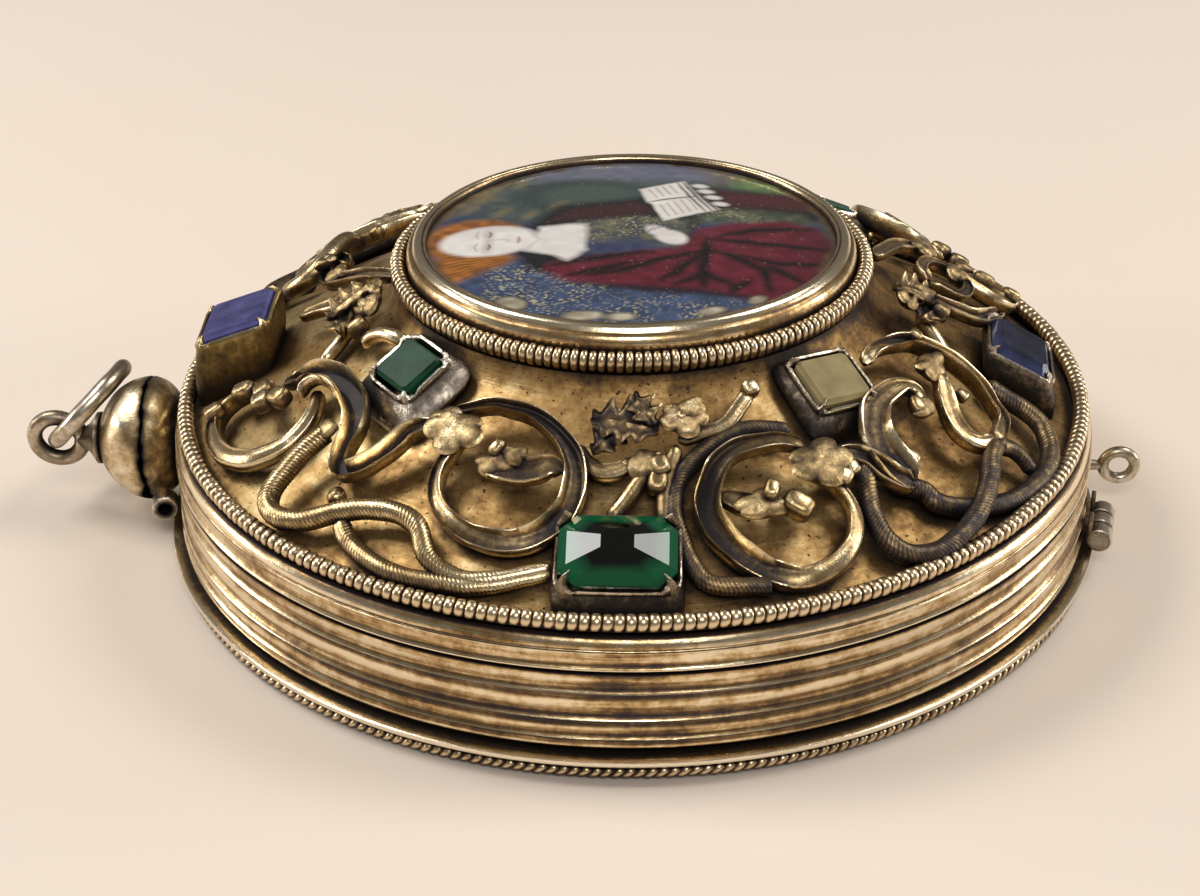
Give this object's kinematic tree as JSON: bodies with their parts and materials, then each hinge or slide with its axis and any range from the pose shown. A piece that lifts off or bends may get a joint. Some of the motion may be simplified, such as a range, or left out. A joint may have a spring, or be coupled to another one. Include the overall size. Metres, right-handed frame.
{
  "type": "round hinged capsule pendant",
  "caption": "Round silver-gilt capsule pendant with a hinged flanged back, a conical scroll and jewel front round an enamel medallion, and a beaded hanging eye.",
  "frame": {"origin": "centre of the flat underside of the back cover, which the pendant lies on", "axes": "+Z out of the front, through the enamel; -X towards the hanging bead and ring; +X towards the bottom loop"},
  "size_m": [0.1027, 0.0846, 0.0276],
  "materials": {
    "gilt_silver": "worn gilding on silver with brown tarnish in the hollows",
    "matt_gilt": "dull pitted gilding",
    "tarnished_silver": "grey-brown tarnished silver with bright worn edges",
    "green_glass": "cut and polished, over dark foil",
    "blue_glass": "cut and polished, worn table",
    "pale_glass": "cut, scratched and dulled",
    "painted_enamel": "glossy painted enamel with fine wear"
  },
  "bodies": {
    "cover": {"back_cover": "gilt_silver", "back_cover_rope": "gilt_silver", "hinge_cover_knuckle": "gilt_silver", "hinge_pin": "gilt_silver"},
    "case": {"side_band": "gilt_silver", "rim_moulding": "gilt_silver", "front_plate": "matt_gilt", "rim_rope": "gilt_silver", "medallion_bezel": "gilt_silver", "medallion_rope": "gilt_silver", "enamel_plaque": "painted_enamel", "rim_collet_front": "tarnished_silver", "rim_stone_front": "green_glass", "rim_collet_left": "tarnished_silver", "rim_stone_left": "blue_glass", "rim_collet_right": "tarnished_silver", "rim_stone_right": "blue_glass", "rim_collet_back": "tarnished_silver", "rim_stone_back": "green_glass", "inner_collet_front_left": "tarnished_silver", "inner_stone_front_left": "green_glass", "inner_collet_front_right": "tarnished_silver", "inner_stone_front_right": "pale_glass", "inner_collet_back_right": "tarnished_silver", "inner_stone_back_right": "green_glass", "inner_collet_back_left": "tarnished_silver", "inner_stone_back_left": "pale_glass", "scroll_casting_front_left": "gilt_silver", "scroll_casting_front_right": "gilt_silver", "scroll_casting_back_right": "gilt_silver", "scroll_casting_back_left": "gilt_silver", "leaf_sprig_front": "gilt_silver", "leaf_sprig_left": "gilt_silver", "leaf_sprig_right": "gilt_silver", "leaf_sprig_back": "gilt_silver", "bead_inner_half": "matt_gilt", "bead_outer_half": "gilt_silver", "suspension_eye": "gilt_silver", "free_ring": "gilt_silver", "bottom_loop": "gilt_silver", "hinge_case_knuckle_near": "gilt_silver", "hinge_case_knuckle_far": "gilt_silver", "catch_tube": "tarnished_silver"}
  },
  "joints": [
    {"name": "cover_hinge", "type": "hinge", "parent": "cover", "child": "case", "pos_m": [0.04143, -0.01033, 0.0035], "axis": [0.2419, 0.9703, 0], "range_deg": [0, 60]}
  ]
}
